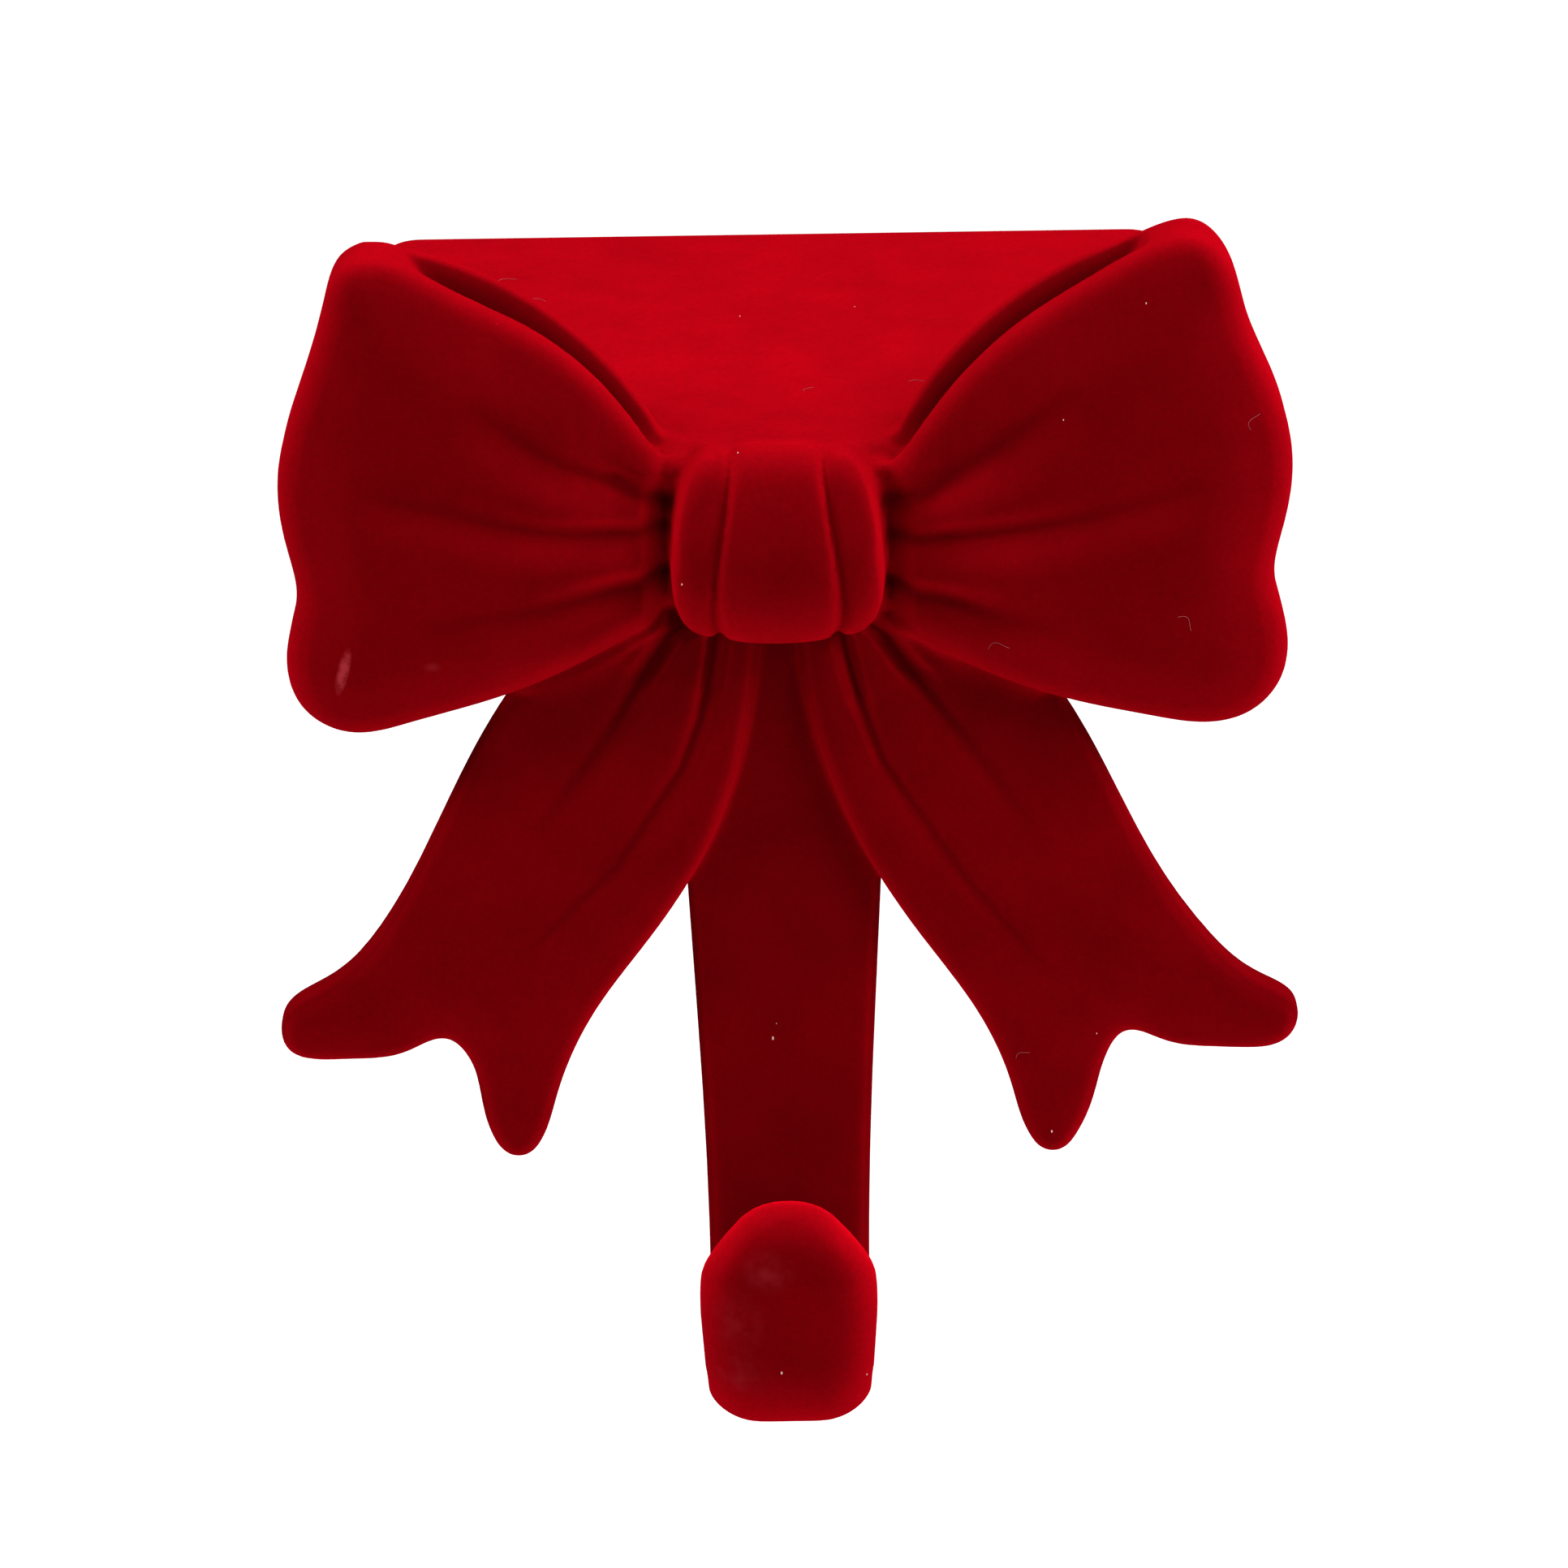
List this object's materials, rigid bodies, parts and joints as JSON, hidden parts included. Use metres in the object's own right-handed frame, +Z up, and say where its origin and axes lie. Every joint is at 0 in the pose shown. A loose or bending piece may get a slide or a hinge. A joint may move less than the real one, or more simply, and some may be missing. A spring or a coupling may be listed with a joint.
{
  "type": "mantel stocking holder",
  "caption": "Flocked bow-shaped stocking holder: a flat plate rests on the mantel shelf and a strap hangs down its face to an upturned hook.",
  "frame": {"origin": "middle of the plate's underside, on the mantel shelf", "axes": "+Z up, -Y out of the mantel towards the viewer, +X to the viewer's right"},
  "size_m": [0.1585, 0.134, 0.1926],
  "materials": {
    "red_flock": "short velvet pile flocked onto cast resin, deep red, matt with a soft sheen at the edges"
  },
  "bodies": {
    "root": {"holder_body": "red_flock"}
  },
  "joints": []
}
